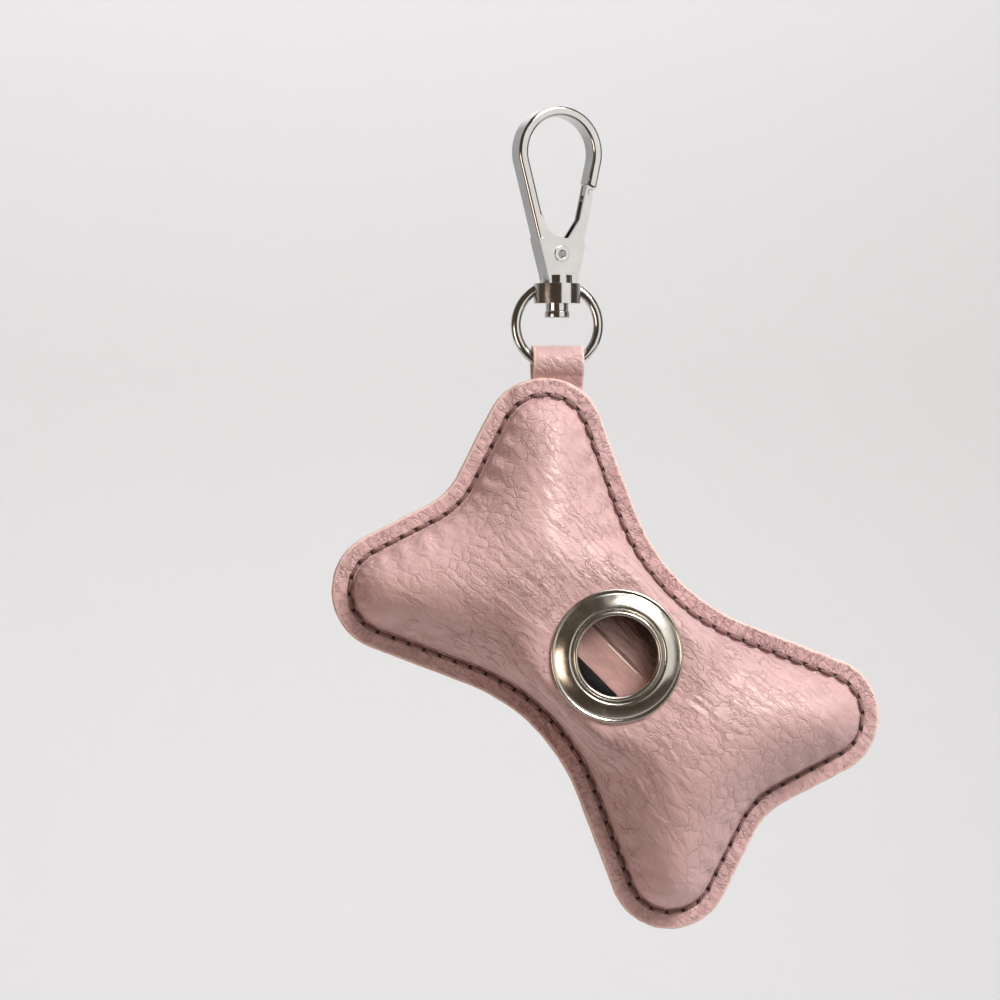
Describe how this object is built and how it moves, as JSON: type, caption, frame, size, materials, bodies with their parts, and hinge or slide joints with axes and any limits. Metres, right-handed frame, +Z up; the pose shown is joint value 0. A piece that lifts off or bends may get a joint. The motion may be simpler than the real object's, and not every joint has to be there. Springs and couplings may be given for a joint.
{
  "type": "waste bag dispenser",
  "caption": "Bone-shaped leather pouch that gives waste bags through a metal eyelet, hanging by a strap from a swivelling trigger snap hook.",
  "frame": {"origin": "centre of the hook's bow, where the ring or lead that carries it sits", "axes": "+Z up, the front with the eyelet faces -Y, +X to the right seen from the front; stored hanging, as in the picture"},
  "size_m": [0.1104, 0.0353, 0.1648],
  "materials": {
    "leather": "pebbled grain, satin",
    "thread": "matt twisted thread",
    "polished_nickel": "polished plating",
    "satin_nickel": "satin warm nickel",
    "spring_steel": "drawn wire",
    "black_cloth": "smooth woven",
    "stuffing": "matt fibre",
    "bag_film": "thin soft film",
    "cardboard": "matt"
  },
  "bodies": {
    "clasp": {"hook_body": "polished_nickel", "gate_pin": "polished_nickel", "gate_spring": "spring_steel", "swivel_rivet": "polished_nickel"},
    "gate": {"gate": "polished_nickel"},
    "swivel": {"swivel_eye": "polished_nickel"},
    "pouch": {"front_panel": "leather", "back_panel": "leather", "eyelet_front": "satin_nickel", "eyelet_washer": "satin_nickel", "hanging_strap": "leather", "seam_thread": "thread", "bag_pocket": "black_cloth", "lobe_pad_top": "stuffing", "lobe_pad_left": "stuffing", "lobe_pad_right": "stuffing", "lobe_pad_bottom": "stuffing", "snap_stud": "satin_nickel", "snap_post": "satin_nickel", "flap_hem": "leather", "flap_thread": "thread"},
    "flap": {"back_flap": "leather", "snap_cap": "satin_nickel", "snap_socket": "satin_nickel"},
    "roll": {"bag_roll": "bag_film", "bag_tail": "bag_film", "roll_core": "cardboard"}
  },
  "joints": [
    {"name": "gate_hinge", "type": "hinge", "parent": "clasp", "child": "gate", "pos_m": [0, 0, -0.0203], "axis": [0.342, -0.9397, 0], "range_deg": [0, 30], "stiffness_Nm_per_rad": 0.006, "springref_deg": -57.3},
    {"name": "swivel_turn", "type": "hinge", "parent": "clasp", "child": "swivel", "pos_m": [0, 0, -0.03], "axis": [0, 0, 1], "continuous": true},
    {"name": "pouch_swing", "type": "hinge", "parent": "swivel", "child": "pouch", "pos_m": [0, 0, -0.04092], "axis": [1, 0, 0], "range_deg": [-40, 40]},
    {"name": "flap_fold", "type": "hinge", "parent": "pouch", "child": "flap", "pos_m": [0.01721, 0.01575, -0.09311], "axis": [0.7071, 0, -0.7071], "range_deg": [0, 110]},
    {"name": "roll_spin", "type": "hinge", "parent": "pouch", "child": "roll", "pos_m": [0.01, -0.0014, -0.10032], "axis": [0.7071, 0, -0.7071], "continuous": true}
  ]
}
